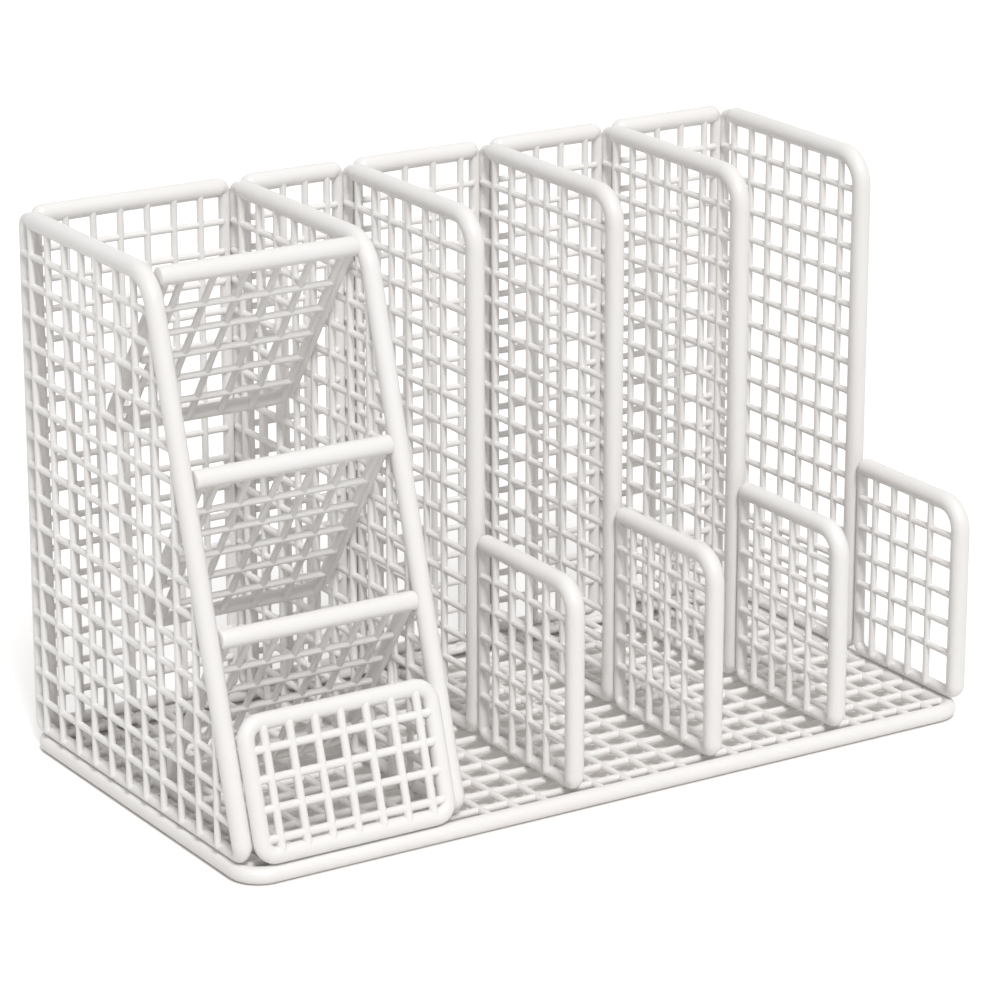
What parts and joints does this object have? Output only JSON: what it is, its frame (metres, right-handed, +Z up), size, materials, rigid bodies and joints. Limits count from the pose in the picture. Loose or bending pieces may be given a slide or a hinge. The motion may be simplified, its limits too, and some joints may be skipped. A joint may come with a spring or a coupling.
{
  "type": "desktop file rack",
  "caption": "Free-standing desk organiser of welded rod-and-wire grid panels: open upright file slots beside a pen compartment with inclined tiers and a low front.",
  "frame": {"origin": "middle of the footprint, on the desk", "axes": "+X to the right along the row of file slots, +Y to the back panels, +Z up"},
  "size_m": [0.4, 0.212, 0.264],
  "materials": {
    "white_coat": "satin powder coat"
  },
  "bodies": {
    "root": {"base_grid": "white_coat", "pen_side_left": "white_coat", "pen_side_right": "white_coat", "divider_1": "white_coat", "divider_2": "white_coat", "divider_3": "white_coat", "divider_4": "white_coat", "low_front_1": "white_coat", "low_front_2": "white_coat", "low_front_3": "white_coat", "low_front_4": "white_coat", "back_pen": "white_coat", "back_1": "white_coat", "back_2": "white_coat", "back_3": "white_coat", "back_4": "white_coat", "tier_top": "white_coat", "tier_middle": "white_coat", "tier_bottom": "white_coat", "pen_front": "white_coat"}
  },
  "joints": []
}
